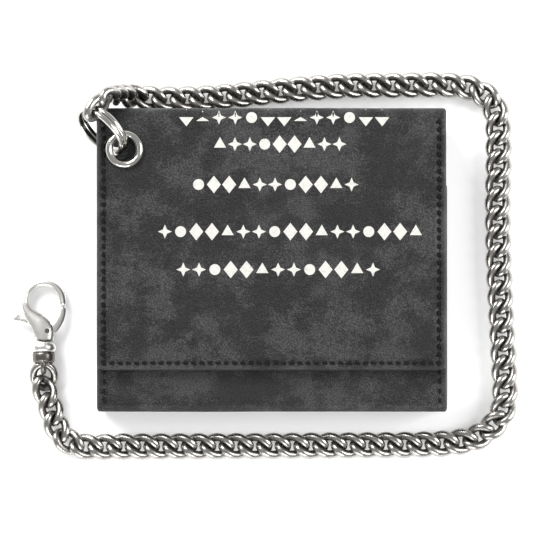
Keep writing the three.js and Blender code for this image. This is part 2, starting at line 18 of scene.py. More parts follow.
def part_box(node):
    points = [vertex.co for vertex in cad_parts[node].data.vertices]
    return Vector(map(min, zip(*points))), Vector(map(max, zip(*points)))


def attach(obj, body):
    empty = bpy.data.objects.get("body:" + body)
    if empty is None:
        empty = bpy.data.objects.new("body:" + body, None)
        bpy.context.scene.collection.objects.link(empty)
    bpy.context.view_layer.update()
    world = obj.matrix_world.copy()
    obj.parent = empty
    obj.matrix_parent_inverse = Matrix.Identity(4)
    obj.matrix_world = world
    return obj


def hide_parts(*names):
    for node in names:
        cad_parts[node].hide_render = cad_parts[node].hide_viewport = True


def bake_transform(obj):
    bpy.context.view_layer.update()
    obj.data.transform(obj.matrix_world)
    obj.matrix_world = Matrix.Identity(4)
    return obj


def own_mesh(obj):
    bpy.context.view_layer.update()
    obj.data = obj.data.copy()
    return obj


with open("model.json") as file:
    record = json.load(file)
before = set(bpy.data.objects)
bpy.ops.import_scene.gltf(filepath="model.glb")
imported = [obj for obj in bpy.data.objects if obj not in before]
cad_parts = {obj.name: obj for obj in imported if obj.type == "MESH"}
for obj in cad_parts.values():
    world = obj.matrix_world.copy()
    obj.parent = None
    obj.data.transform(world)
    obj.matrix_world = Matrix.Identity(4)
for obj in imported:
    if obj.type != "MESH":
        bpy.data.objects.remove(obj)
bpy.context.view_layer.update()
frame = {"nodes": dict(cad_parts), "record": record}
LOG = logging.getLogger("chain_wallet")
MM = 0.001
RING_AXIS = Vector((0.63356, 0.64807, -0.42262))


# ---------------------------------------------------------------- shader maths
class Socket:
    """A number that varies over a surface, with the operators that materials use."""

    def __init__(self, shader: "Shader", link: bpy.types.NodeSocket) -> None:
        """Keeps the output socket and the shader that owns it."""
        self.shader = shader
        self.link = link

    def _math(self, operation: str, *values: Any, clamp: bool = False) -> "Socket":
        """Adds one Math node.

        Args:
            operation: the Math node's operation.
            values: its inputs, numbers or sockets.
            clamp: whether the result is held between 0 and 1.

        Returns:
            The node's result.
        """
        settings = {"operation": operation, "use_clamp": clamp}
        return self.shader.node("ShaderNodeMath", settings, dict(enumerate(values))).number()

    def __add__(self, other: Any) -> "Socket":
        """Sum."""
        return self._math("ADD", self, other)

    def __sub__(self, other: Any) -> "Socket":
        """Difference."""
        return self._math("SUBTRACT", self, other)

    def __rsub__(self, other: Any) -> "Socket":
        """Difference, the other way round."""
        return self._math("SUBTRACT", other, self)

    def __mul__(self, other: Any) -> "Socket":
        """Product."""
        return self._math("MULTIPLY", self, other)

    __radd__ = __add__
    __rmul__ = __mul__

    def clamped(self) -> "Socket":
        """The value held between 0 and 1."""
        return self._math("ADD", self, 0.0, clamp=True)

    def ramp(self, low: float, high: float) -> "Socket":
        """0 below low and 1 above high, smooth between."""
        settings = {"interpolation_type": "SMOOTHSTEP"}
        values = {"Value": self, "From Min": low, "From Max": high}
        return self.shader.node("ShaderNodeMapRange", settings, values).number("Result")


class NodeHandle:
    """A node that was just made, with short ways to its outputs."""

    def __init__(self, shader: "Shader", node: bpy.types.Node) -> None:
        """Keeps the node and its shader."""
        self.shader = shader
        self.node = node

    def number(self, name: str | int = 0) -> Socket:
        """An output as a number."""
        return Socket(self.shader, self.node.outputs[name])

    def out(self, name: str | int = 0) -> bpy.types.NodeSocket:
        """An output as a bare socket, for colours and vectors."""
        return self.node.outputs[name]


class Shader:
    """One material's node tree around a Principled BSDF."""

    def __init__(self, name: str, **constants: Any) -> None:
        """Makes the material.

        Args:
            name: the material's name.
            constants: Principled sockets that are the same all over, with _ for a space.
        """
        self.material = bpy.data.materials.new(name)
        self.material.use_nodes = True
        self.tree = self.material.node_tree
        self.bsdf = self.tree.nodes["Principled BSDF"]
        for key, value in constants.items():
            self.bsdf.inputs[key.replace("_", " ")].default_value = value
        self.place = self.node("ShaderNodeTexCoord").out("Object")

    def node(self, kind: str, settings: dict[str, Any] | None = None,
             values: dict[str | int, Any] | None = None) -> NodeHandle:
        """Makes a node, sets it up and fills its inputs.

        Args:
            kind: the node's type.
            settings: its properties.
            values: its inputs by name or number, as constants or links.

        Returns:
            The node.
        """
        made = self.tree.nodes.new(kind)
        for key, value in (settings or {}).items():
            setattr(made, key, value)
        for key, value in (values or {}).items():
            self.feed(made.inputs[key], value)
        return NodeHandle(self, made)

    def feed(self, socket: bpy.types.NodeSocket, value: Any) -> None:
        """Links a socket or sets its constant."""
        if isinstance(value, Socket):
            self.tree.links.new(value.link, socket)
        elif isinstance(value, bpy.types.NodeSocket):
            self.tree.links.new(value, socket)
        else:
            socket.default_value = value

    def finish(self, **values: Any) -> bpy.types.Material:
        """Feeds the Principled BSDF and returns the material."""
        for key, value in values.items():
            self.feed(self.bsdf.inputs[key.replace("_", " ")], value)
        return self.material

    def noise(self, scale: float, detail: float = 2.0, roughness: float = 0.5,
              place: bpy.types.NodeSocket | None = None) -> Socket:
        """Cloudy noise between 0 and 1; scale is per metre."""
        values = {"Vector": place or self.place, "Scale": scale, "Detail": detail, "Roughness": roughness}
        return self.node("ShaderNodeTexNoise", None, values).number(0)

    def cells(self, scale: float) -> Socket:
        """Distance inside cells; scale is per metre."""
        values = {"Vector": self.place, "Scale": scale}
        return self.node("ShaderNodeTexVoronoi", {"feature": "F1"}, values).number("Distance")

    def stretched(self, scale: Sequence[float], turn: float = 0.0) -> bpy.types.NodeSocket:
        """Object coordinates scaled unevenly and turned about Z, for scratches."""
        values = {"Vector": self.place, "Scale": scale, "Rotation": (0.0, 0.0, turn)}
        return self.node("ShaderNodeMapping", None, values).out()

    def attribute(self, name: str) -> Socket:
        """A number kept on the mesh."""
        return self.node("ShaderNodeAttribute", {"attribute_name": name}).number("Fac")

    def blend(self, share: Any, first: Any, second: Any) -> bpy.types.NodeSocket:
        """Mixes two colours."""
        values = {0: share, 6: self._colour(first), 7: self._colour(second)}
        return self.node("ShaderNodeMix", {"data_type": "RGBA"}, values).out(2)

    @staticmethod
    def _colour(value: Any) -> Any:
        """Three numbers as a colour with alpha; links pass through."""
        return (*value, 1.0) if isinstance(value, tuple) and len(value) == 3 else value

    def bump(self, height: Socket, distance: float) -> bpy.types.NodeSocket:
        """A bump of that many metres."""
        return self.node("ShaderNodeBump", None, {"Height": height, "Distance": distance}).out()


# ---------------------------------------------------------------- finishes
@dataclass(frozen=True)
class LeatherFinish:
    """Black full-grain leather with cloudy sheen, fine grain and worn edges; the base colour paints part of the
    sheen, highlights on the grain tips and a light rim along the edges.
    """

    name: str
    dark: tuple[float, float, float] = (0.002, 0.002, 0.0022)
    # Lighter colour, where painted sheen and painted grain-tip highlights go over the leather's own tone.
    light: tuple[float, float, float] = (0.066, 0.066, 0.067)
    # Lighter edge colour: rubbed wear with a painted rim highlight; scratches use it too.
    edge: tuple[float, float, float] = (0.09, 0.09, 0.092)
    shine: float = 0.40
    grain_per_m: float = 1700.0
    grain_depth: float = 0.00042
    scratches: bool = True

    def make(self) -> bpy.types.Material:
        """Builds the material."""
        s = Shader(self.name, IOR=1.5, Coat_Roughness=0.28, Specular_IOR_Level=0.30)
        clouds = s.noise(42.0, 4.0, 0.55)
        patches = s.noise(130.0, 3.0, 0.6)
        mottled = (clouds * 0.45 + patches * 0.4 + s.noise(620.0, 3.0, 0.7) * 0.15).ramp(0.43, 0.57)
        grain = s.cells(self.grain_per_m)
        pores = s.noise(self.grain_per_m * 1.9, 2.0, 0.6)
        wrinkles = s.noise(260.0, 4.0, 0.62, s.stretched((1.0, 0.55, 1.0), 0.25))
        # Lighter rim along the edges: rubbed wear and a painted rim highlight for the bright surroundings seen
        # at grazing angles.
        rubbed = (s.attribute("rim_highlight_and_wear") * (s.noise(380.0, 3.0, 0.6) * 0.9 + 0.45)).clamped()
        # Painted highlight: lighter specks that stand for light caught on the grain tips.
        grain_tip_highlight = s.noise(self.grain_per_m * 1.4, 2.0, 0.65).ramp(0.44, 0.62)
        # Base colour: the mottling's lighter cloudy patches are partly the leather's own tone and partly
        # painted sheen; the specks are painted highlights.
        base = s.blend((mottled * 0.55 + grain_tip_highlight * 0.65 - 0.40).clamped(), self.dark, self.light)
        worn = s.blend(rubbed * 0.4, base, self.edge)
        roughness = self.shine - mottled * 0.06 + (1 - grain.ramp(0.1, 0.75)) * 0.07 + rubbed * 0.06
        height = grain * 0.6 + pores * 0.45 + wrinkles * 1.5
        if self.scratches:
            lines = s.noise(9.0, 1.0, 0.4, s.stretched((260.0, 8.0, 20.0), 1.25))
            more = s.noise(7.0, 1.0, 0.4, s.stretched((300.0, 7.0, 20.0), -0.35))
            scratch = (lines.ramp(0.76, 0.78) + more.ramp(0.765, 0.785)).clamped()
            worn = s.blend(scratch * 0.12, worn, self.edge)
            height = height - scratch * 0.4
        return s.finish(Base_Color=worn, Roughness=roughness.clamped(), Coat_Weight=mottled * 0.10 + 0.03,
                        Normal=s.bump(height, self.grain_depth))


@dataclass(frozen=True)
class MetalFinish:
    """Plated metal: bright where it is rubbed, dark where the plating was aged, and darkened by painted shade
    where the mesh marks it.
    """

    name: str
    bright: tuple[float, float, float]
    dark: tuple[float, float, float]
    roughness: float
    spread: float
    dents: float
    ageing: float

    def make(self) -> bpy.types.Material:
        """Builds the material; a number kept on the mesh says where patina and painted shade darken it."""
        s = Shader(self.name, Metallic=1.0)
        blotches = s.noise(900.0, 4.0, 0.65)
        fine = s.noise(5200.0, 3.0, 0.6)
        # Patina in hollows and painted shade on faces turned from above and inside the links, as kept on the
        # mesh.
        shade_and_patina = s.attribute("shade_and_patina")
        patina_and_painted_shade = (shade_and_patina * 1.15 + (blotches - 0.5) * self.ageing).ramp(0.18, 0.95)
        colour = s.blend(patina_and_painted_shade, self.bright, self.dark)
        hairlines = s.noise(60.0, 2.0, 0.5, s.stretched((25.0, 90.0, 40.0), 0.6))
        roughness = self.roughness + patina_and_painted_shade * self.spread + (blotches - 0.5) * 0.14 + (hairlines - 0.5) * 0.1
        height = blotches * 0.8 + fine * 0.2
        return s.finish(Base_Color=colour, Roughness=roughness.clamped(), Normal=s.bump(height, self.dents))


@dataclass(frozen=True)
class ThreadFinish:
    """Waxed black thread with a twisted ply."""

    name: str
    colour: tuple[float, float, float] = (0.004, 0.004, 0.004)
    lit: tuple[float, float, float] = (0.02, 0.02, 0.021)

    def make(self) -> bpy.types.Material:
        """Builds the material."""
        s = Shader(self.name, IOR=1.5, Specular_IOR_Level=0.1)
        ply = s.node("ShaderNodeTexWave", {"wave_type": "BANDS", "bands_direction": "DIAGONAL"},
                     {"Vector": s.place, "Scale": 900.0, "Distortion": 1.5}).number("Fac")
        fuzz = s.noise(6000.0, 3.0, 0.7)
        return s.finish(Base_Color=s.blend(ply * 0.6, self.colour, self.lit), Roughness=fuzz * 0.3 + 0.45,
                        Normal=s.bump(ply + fuzz * 0.5, 0.00008))


@dataclass(frozen=True)
class FoilFinish:
    """Off-white transfer print, a little worn, that follows the grain beneath it."""

    name: str
    colour: tuple[float, float, float] = (0.56, 0.55, 0.52)
    thin: tuple[float, float, float] = (0.30, 0.29, 0.28)

    def make(self) -> bpy.types.Material:
        """Builds the material."""
        s = Shader(self.name, IOR=1.45)
        worn = s.noise(1500.0, 4.0, 0.7).ramp(0.52, 0.72)
        grain = s.cells(1700.0)
        return s.finish(Base_Color=s.blend(worn * 0.7, self.colour, self.thin), Roughness=worn * 0.2 + 0.5,
                        Normal=s.bump(grain + worn * 0.4, 0.00006))


class Finish(Enum):
    """The finishes that the pieces take, by name."""

    LEATHER = "leather"
    LINING = "lining"
    SILVER = "antique_silver"
    NICKEL = "nickel"
    PLATE = "clasp_plate"
    DARK = "dark_steel"
    THREAD = "thread"
    FOIL = "foil"


class Palette:
    """Makes each finish once and hands it out."""

    def __init__(self) -> None:
        """Builds every material."""
        lining = LeatherFinish("lining", (0.014, 0.014, 0.015), (0.03, 0.03, 0.031), (0.09, 0.09, 0.09),
                               0.58, 2300.0, 0.00006, False)
        self.made: dict[Finish, bpy.types.Material] = {
            Finish.LEATHER: LeatherFinish("black_leather").make(),
            Finish.LINING: lining.make(),
            Finish.SILVER: MetalFinish("antique_silver", (0.43, 0.417, 0.395), (0.06, 0.056, 0.052),
                                       0.27, 0.22, 0.00007, 0.55).make(),
            Finish.NICKEL: MetalFinish("polished_nickel", (0.58, 0.57, 0.545), (0.16, 0.15, 0.14),
                                       0.19, 0.15, 0.00002, 0.25).make(),
            Finish.PLATE: MetalFinish("clasp_plate", (0.88, 0.865, 0.83), (0.12, 0.112, 0.103),
                                      0.33, 0.15, 0.00003, 0.3).make(),
            # Dark metal; on the swivel it paints shade.
            Finish.DARK: MetalFinish("dark_steel", (0.17, 0.16, 0.148), (0.05, 0.046, 0.042),
                                     0.36, 0.2, 0.00006, 0.6).make(),
            Finish.THREAD: ThreadFinish("waxed_thread").make(),
            Finish.FOIL: FoilFinish("print_foil").make(),
        }

    def __getitem__(self, finish: Finish) -> bpy.types.Material:
        """The material of a finish."""
        return self.made[finish]


# ---------------------------------------------------------------- meshes
Point = tuple[float, float, float]
PALETTE = Palette()


def new_mesh(name: str, points: Iterable[Sequence[float]], faces: Iterable[Sequence[int]],
             edges: Iterable[Sequence[int]] = (),
             marks: dict[str, Sequence[float]] | None = None) -> bpy.types.Object:
    """Makes a mesh object in the scene.

    Args:
        name: the object's name.
        points: vertices in metres.
        faces: vertex numbers of each face.
        edges: loose edges, for paths.
        marks: point attributes by name.

    Returns:
        The object, at the origin.
    """
    mesh = bpy.data.meshes.new(name)
    mesh.from_pydata([tuple(p) for p in points], [tuple(e) for e in edges], [tuple(f) for f in faces])
    for key, values in (marks or {}).items():
        mesh.attributes.new(key, "FLOAT", "POINT").data.foreach_set("value", list(values))
    made = bpy.data.objects.new(name, mesh)
    bpy.context.scene.collection.objects.link(made)
    return made


def settle(piece: bpy.types.Object) -> bpy.types.Object:
    """Turns a piece's modifiers into plain mesh and removes them."""
    graph = bpy.context.evaluated_depsgraph_get()
    mesh = bpy.data.meshes.new_from_object(piece.evaluated_get(graph), depsgraph=graph)
    piece.modifiers.clear()
    piece.data = mesh
    return piece


def smooth(*pieces: bpy.types.Object) -> None:
    """Shades every face smooth."""
    for piece in pieces:
        for face in piece.data.polygons:
            face.use_smooth = True


def tidy(piece: bpy.types.Object, merge: float = 1e-6) -> bpy.types.Object:
    """Merges doubles, points faces outwards and shades the piece smooth."""
    work = bmesh.new()
    work.from_mesh(piece.data)
    bmesh.ops.remove_doubles(work, verts=work.verts, dist=merge)
    bmesh.ops.dissolve_degenerate(work, edges=work.edges, dist=merge / 10)
    bmesh.ops.recalc_face_normals(work, faces=work.faces)
    for face in work.faces:
        face.smooth = True
    work.to_mesh(piece.data)
    work.free()
    return piece


def loft(name: str, loops: Sequence[Sequence[Point]], closed: bool = False,
         marks: dict[str, Sequence[float]] | None = None) -> bpy.types.Object:
    """Skins closed loops of equal size.

    Args:
        name: the object's name.
        loops: rings of points.
        closed: whether the last ring joins the first; open ends get a face.
        marks: point attributes in the loops' order.

    Returns:
        The tidy object.
    """
    size = len(loops[0])
    points = [p for loop in loops for p in loop]
    faces = []
    spans = len(loops) if closed else len(loops) - 1
    for i in range(spans):
        a, b = i * size, ((i + 1) % len(loops)) * size
        faces += [(a + j, a + (j + 1) % size, b + (j + 1) % size, b + j) for j in range(size)]
    if not closed:
        faces += [tuple(range(size)), tuple(range((len(loops) - 1) * size, len(loops) * size))]
    return tidy(new_mesh(name, points, faces, marks=marks))


def lathe(name: str, profile: Sequence[tuple[float, float]], place: Callable[[float, float, float], Point],
          sides: int = 72) -> bpy.types.Object:
    """Turns a closed profile of (radius, height) about an axis; place maps x, y and height to the frame."""
    loops = []
    for i in range(sides):
        a = 2 * math.pi * i / sides
        loops.append([place(r * math.cos(a), r * math.sin(a), h) for r, h in profile])
    return loft(name, loops, closed=True)


def tube(name: str, path: Sequence[Vector], section: Callable[[float, float], tuple[float, float]],
         up: Vector, sides: int = 16, closed: bool = False,
         shade_and_patina: Callable[[Vector, Vector], float] | None = None) -> bpy.types.Object:
    """Sweeps a section along a path.

    Args:
        name: the object's name.
        path: the middle line.
        section: gives the offsets along side and up for a share of the path and an angle.
        up: a direction that is never along the path.
        sides: points round the section.
        closed: whether the path is a ring.
        shade_and_patina: darkness of a point from its place and its outward direction.

    Returns:
        The tidy object.
    """
    count = len(path)
    loops, marks = [], []
    for i, middle in enumerate(path):
        before = path[i - 1] if closed or i else path[0]
        after = path[(i + 1) % count] if closed or i < count - 1 else path[-1]
        ahead = (after - before).normalized()
        side = ahead.cross(up).normalized()
        top = side.cross(ahead).normalized()
        loop = []
        for j in range(sides):
            a, b = section(i / (count if closed else count - 1), 2 * math.pi * j / sides)
            out = side * a + top * b
            loop.append(tuple(middle + out))
            marks.append(shade_and_patina(middle + out, out.normalized()) if shade_and_patina else 0.0)
        loops.append(loop)
    return loft(name, loops, closed=closed, marks={"shade_and_patina": marks})


def round_section(radius: float) -> Callable[[float, float], tuple[float, float]]:
    """A round section of that radius."""
    return lambda share, angle: (radius * math.cos(angle), radius * math.sin(angle))


def smooth_route(points: Sequence[Sequence[float]], step: float) -> list[Vector]:
    """A smooth curve through given points, as points about a step apart."""
    given = [Vector(p) for p in points]
    ends = [given[0] * 2 - given[1], *given, given[-1] * 2 - given[-2]]
    route: list[Vector] = []
    for p0, p1, p2, p3 in zip(ends, ends[1:], ends[2:], ends[3:]):
        count = max(2, round((p2 - p1).length / step))
        for i in range(count):
            t = i / count
            route.append(0.5 * (2 * p1 + (p2 - p0) * t + (2 * p0 - 5 * p1 + 4 * p2 - p3) * t * t
                                + (3 * p1 - p0 - 3 * p2 + p3) * t ** 3))
    return [*route, given[-1]]


def run_length(route: Sequence[Vector]) -> float:
    """The length of a run of points."""
    return sum((b - a).length for a, b in zip(route, route[1:]))


def smoothstep(low: float, high: float, value: float) -> float:
    """0 below low and 1 above high, smooth between."""
    t = min(1.0, max(0.0, (value - low) / (high - low)))
    return t * t * (3 - 2 * t)


def dress(piece: bpy.types.Object, body: str | None, finish: Finish, stands_for: Sequence[str] = ()) -> bpy.types.Object:
    """Gives a piece its finish and body and hides the CAD nodes that it stands for.

    Args:
        piece: the finished mesh.
        body: the body that it rides on, or None to leave it on no body.
        finish: its material.
        stands_for: CAD nodes that are then not shown.

    Returns:
        The piece.
    """
    piece.data.materials.clear()
    piece.data.materials.append(PALETTE[finish])
    if body is not None:
        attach(piece, body)
    if stands_for:
        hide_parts(*stands_for)
    LOG.info("%s on %s: %d faces", piece.name, body or "two bodies", len(piece.data.polygons))
    return piece


# ---------------------------------------------------------------- repeats along a path
class Spacing(Enum):
    """How copies are spread along a path."""

    COUNT = "COUNT"
    LENGTH = "LENGTH"


class PathRepeat:
    """A Geometry Nodes tree that sets copies of a piece along edge paths."""

    sockets: dict[str, str] = {"Path": "Geometry", "Count": "Int", "Pitch": "Float", "Piece": "Object",
                               "Material": "Material"}

    def __init__(self, name: str, spacing: Spacing) -> None:
        """Builds the tree.

        Args:
            name: the tree's name.
            spacing: by a count or by a pitch.
        """
        self.spacing = spacing
        self.tree = bpy.data.node_groups.new(name, "GeometryNodeTree")
        face = self.tree.interface
        self.keys = {key: face.new_socket(key, in_out="INPUT", socket_type=f"NodeSocket{kind}").identifier
                     for key, kind in self.sockets.items()}
        face.new_socket("Copies", in_out="OUTPUT", socket_type="NodeSocketGeometry")
        self._wire()

    def _node(self, kind: str, settings: dict[str, Any] | None = None, **values: Any) -> bpy.types.Node:
        """Makes a node; values are constants or links by input name, with _ for a space."""
        made = self.tree.nodes.new(kind)
        for key, value in (settings or {}).items():
            setattr(made, key, value)
        for key, value in values.items():
            socket = made.inputs[key.replace("_", " ")]
            if isinstance(value, bpy.types.NodeSocket):
                self.tree.links.new(value, socket)
            else:
                socket.default_value = value
        return made

    def _wire(self) -> None:
        """Joins the nodes up."""
        given = self._node("NodeGroupInput").outputs
        curve = self._node("GeometryNodeMeshToCurve", Mesh=given["Path"]).outputs[0]
        upright = self._node("GeometryNodeSetCurveNormal", {"mode": "Z_UP"}, Curve=curve).outputs[0]
        roll = self._node("GeometryNodeInputNamedAttribute", {"data_type": "FLOAT"}, Name="roll").outputs[0]
        rolled = self._node("GeometryNodeSetCurveTilt", Curve=upright, Tilt=roll).outputs[0]
        spread = self._node("GeometryNodeCurveToPoints", {"mode": self.spacing.value}, Curve=rolled)
        source, target = ("Count", "Count") if self.spacing is Spacing.COUNT else ("Pitch", "Length")
        self.tree.links.new(given[source], spread.inputs[target])
        turn = self._node("FunctionNodeAxesToRotation", {"primary_axis": "X", "secondary_axis": "Y"},
                          Primary_Axis=spread.outputs["Tangent"], Secondary_Axis=spread.outputs["Normal"])
        pattern = self._node("GeometryNodeObjectInfo", Object=given["Piece"], As_Instance=True)
        copies = self._node("GeometryNodeInstanceOnPoints", Points=spread.outputs["Points"],
                            Instance=pattern.outputs["Geometry"], Rotation=turn.outputs[0])
        real = self._node("GeometryNodeRealizeInstances", Geometry=copies.outputs[0])
        done = self._node("GeometryNodeSetMaterial", Geometry=real.outputs[0], Material=given["Material"])
        self.tree.links.new(done.outputs[0], self._node("NodeGroupOutput").inputs[0])

    def run(self, name: str, routes: Sequence[Sequence[Vector]], pattern: bpy.types.Object, finish: Finish,
            count: int = 2, pitch: float = 0.01,
            roll: Callable[[float], float] = lambda share: 0.0) -> bpy.types.Object:
        """Sets the copies and returns them as one plain mesh.

        Args:
            name: the new piece's name.
            routes: the paths, each a run of points.
            pattern: the piece to copy, which is deleted afterwards.
            finish: the material.
            count: copies on each path, where the spacing is a count.
            pitch: distance between copies, where the spacing is a length.
            roll: turn about the path for a share of its length.

        Returns:
            The new piece, shaded smooth.
        """
        points, edges, rolls = [], [], []
        for route in routes:
            start = len(points)
            points += [tuple(p) for p in route]
            edges += [(start + i, start + i + 1) for i in range(len(route) - 1)]
            rolls += [roll(i / (len(route) - 1)) for i in range(len(route))]
        made = new_mesh(name, points, [], edges, {"roll": rolls})
        modifier = made.modifiers.new("repeat", "NODES")
        modifier.node_group = self.tree
        given = {"Count": count, "Pitch": pitch, "Piece": pattern, "Material": PALETTE[finish]}
        for key, value in given.items():
            modifier[self.keys[key]] = value
        settle(made)
        smooth(made)
        return made


def drop(*patterns: bpy.types.Object) -> None:
    """Deletes patterns that were only copied."""
    for pattern in patterns:
        bpy.data.objects.remove(pattern, do_unlink=True)


# ---------------------------------------------------------------- chain
@dataclass
class Chain:
    """The curb chain, from the split ring's link to the clasp's link."""

    wire: float = 0.0028
    half_long: float = 0.0046
    half_wide: float = 0.0030
    twist: float = 0.82
    pitch: float = 0.0062
    width: float = 0.0085
    eye_wire: float = 0.0026
    eye_half_long: float = 0.0044
    eye_half_wide: float = 0.0036
    eye_slope: float = 0.4157
    ring_link_wide: Vector = field(default_factory=lambda: Vector((-0.2333, 0.6808, 0.6943)))
    fineness: float = 0.0012
    lead_turn: float = math.radians(80)
    lead_share: float = 0.075
    lie: float = 3.75
    lead: list[Point] = field(default_factory=lambda: [
        (-53.6, 53.6, 23.3), (-51.8, 54.4, 18.4), (-49.8, 54.4, 13.2), (-46.6, 54.2, 7.4), (-41.6, 53.8, 3.9)])
    lying: list[tuple[float, float]] = field(default_factory=lambda: [
        (-37.0, 53.5), (-24.2, 53.7), (-11.2, 54.8), (1.6, 56.1), (14.3, 57.2), (27.0, 57.9), (40.0, 58.0),
        (53.0, 58.2), (59.5, 58.0), (66.0, 57.0), (71.9, 53.6), (74.6, 47.6), (75.1, 35.2), (74.8, 19.0),
        (75.0, 2.8), (75.6, -11.0), (76.3, -24.0), (77.0, -37.0), (77.2, -43.6), (76.4, -50.0), (73.2, -54.9),
        (67.9, -58.6), (61.1, -60.2), (48.0, -61.0), (16.0, -61.3), (-16.0, -61.5), (-48.0, -61.6),
        (-56.0, -61.7), (-62.8, -61.5), (-68.3, -59.4), (-71.6, -54.6), (-73.4, -48.6)])
    end: Point = (-75.2, -43.4, 3.6)

    def path(self) -> list[Vector]:
        """The route's middle line in metres, evenly fine: down the lead and round the table."""
        route = [*self.lead, *((x, y, self.lie) for x, y in self.lying), self.end]
        return smooth_route([Vector(p) * MM for p in route], self.fineness)

    def link(self, name: str, rings: int = 28, sides: int = 10,
             twist: float | None = None) -> bpy.types.Object:
        """One link round the origin, long along X, twisted as a curb link is.

        Args:
            name: the object's name.
            rings: sections along the wire.
            sides: points round each section.
            twist: turn at each end, or None for the curb twist.

        Returns:
            The link with its inner sides marked darker, for patina and painted shade where the links meet.
        """
        turn = self.twist if twist is None else twist

        def bend(angle: float) -> Vector:
            """The wire's middle at an angle."""
            x, y = self.half_long * math.cos(angle), self.half_wide * math.sin(angle)
            roll = turn * x / self.half_long
            return Vector((x, y * math.cos(roll), y * math.sin(roll)))

        middle = [bend(2 * math.pi * i / rings) for i in range(rings)]
        loops, marks = [], []
        for i, point in enumerate(middle):
            ahead = (middle[(i + 1) % rings] - middle[i - 1]).normalized()
            out = (point - ahead * point.dot(ahead)).normalized()
            side = ahead.cross(out).normalized()
            loop = []
            for j in range(sides):
                a = 2 * math.pi * j / sides
                away = out * math.cos(a) + side * math.sin(a)
                loop.append(tuple(point + away * self.wire / 2))
                # Darker towards the wire's inner side: patina and painted shade where the links meet.
                marks.append(smoothstep(0.35, -0.6, math.cos(a)) * 0.75)
            loops.append(loop)
        return loft(name, loops, closed=True, marks={"shade_and_patina": marks})

    def place_link(self, name: str, node: str, long: Vector, wide: Vector, body: str) -> bpy.types.Object:
        """A single untwisted end link in its place, instead of the plain CAD one.

        Args:
            name: the new piece's name.
            node: the CAD node that it stands for, whose middle it takes.
            long: the way it is long.
            wide: the way it is wide.
            body: the body that it rides on.

        Returns:
            The link.
        """
        low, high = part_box(node)
        middle = (Vector(low) + Vector(high)) / 2
        piece = self.link(name, 48, 16, 0.0)
        thick = long.cross(wide).normalized()
        turned = Matrix((long.normalized(), wide.normalized(), thick)).transposed().to_4x4()
        piece.data.transform(Matrix.Translation(middle) @ turned)
        return dress(piece, body, Finish.SILVER, [node])

    def build(self) -> list[bpy.types.Object]:
        """Builds the chain's links and its two end links."""
        route = self.path()
        length = run_length(route)
        count = round(length / self.pitch) + 1
        pattern = self.link("link_pattern")
        repeat = PathRepeat("chain_links", Spacing.COUNT)
        chain = repeat.run("chain", [route], pattern, Finish.SILVER, count=count,
                           roll=lambda share: self.lead_turn * (1 - smoothstep(0.0, self.lead_share, share)))
        drop(pattern)
        dress(chain, "root", Finish.SILVER,
              ["chain_lead", "chain_top_run", "chain_right_run", "chain_bottom_run", "chain_left_run"])
        ring_link = self.place_link("first_link", "ring_link", RING_AXIS, self.ring_link_wide, "link")
        eye_link = replace(self, wire=self.eye_wire, half_long=self.eye_half_long, half_wide=self.eye_half_wide)
        slope = Vector((0.0, math.cos(self.eye_slope), math.sin(self.eye_slope)))
        last = eye_link.place_link("last_link", "clasp_link", slope, Vector((1.0, 0.0, 0.0)), "root")
        LOG.info("chain: %d links along %.1f mm", count, length / MM)
        return [chain, ring_link, last]

    def declare(self) -> None:
        """Works out the route and its length; nothing is kept."""
        route = self.path()
        run_length(route)


